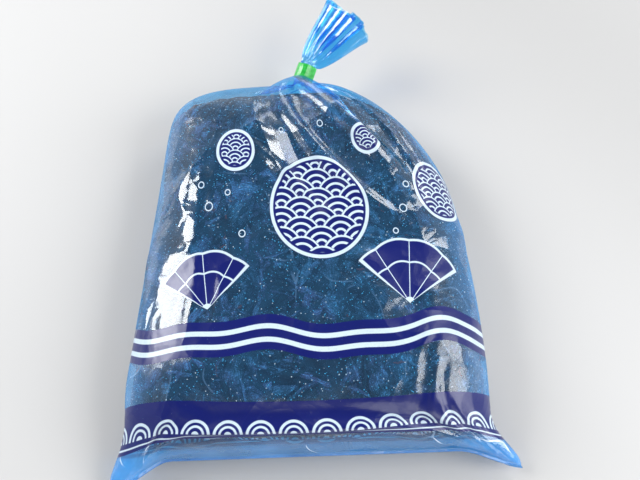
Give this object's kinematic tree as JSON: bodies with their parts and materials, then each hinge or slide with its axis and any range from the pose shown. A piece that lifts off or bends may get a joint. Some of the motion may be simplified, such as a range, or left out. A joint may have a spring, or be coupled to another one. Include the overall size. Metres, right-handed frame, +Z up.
{
  "type": "bag of salted wakame seaweed",
  "caption": "Tied clear film bag packed with damp salted wakame fronds, lying on its back, with a sealed bottom edge, a taped gathered neck and a fanned tail.",
  "frame": {"origin": "middle of the flat underside that the filled bag rests on, on the table's plane", "axes": "+Y from the sealed bottom edge to the tied neck, +X to the bag's right seen from above, +Z up through the printed front"},
  "size_m": [0.2175, 0.279, 0.0507],
  "materials": {
    "blue_film": "glossy blue-tinted clear film, printed in navy and pale ink",
    "green_tape": "glossy green sealing tape",
    "salted_wakame": "damp dark green fronds with salt grains"
  },
  "bodies": {
    "root": {"bag_film": "blue_film", "neck_tape": "green_tape", "wakame_handful_1": "salted_wakame", "wakame_handful_2": "salted_wakame", "wakame_handful_3": "salted_wakame", "wakame_handful_4": "salted_wakame", "wakame_handful_5": "salted_wakame", "wakame_handful_6": "salted_wakame"}
  },
  "joints": []
}
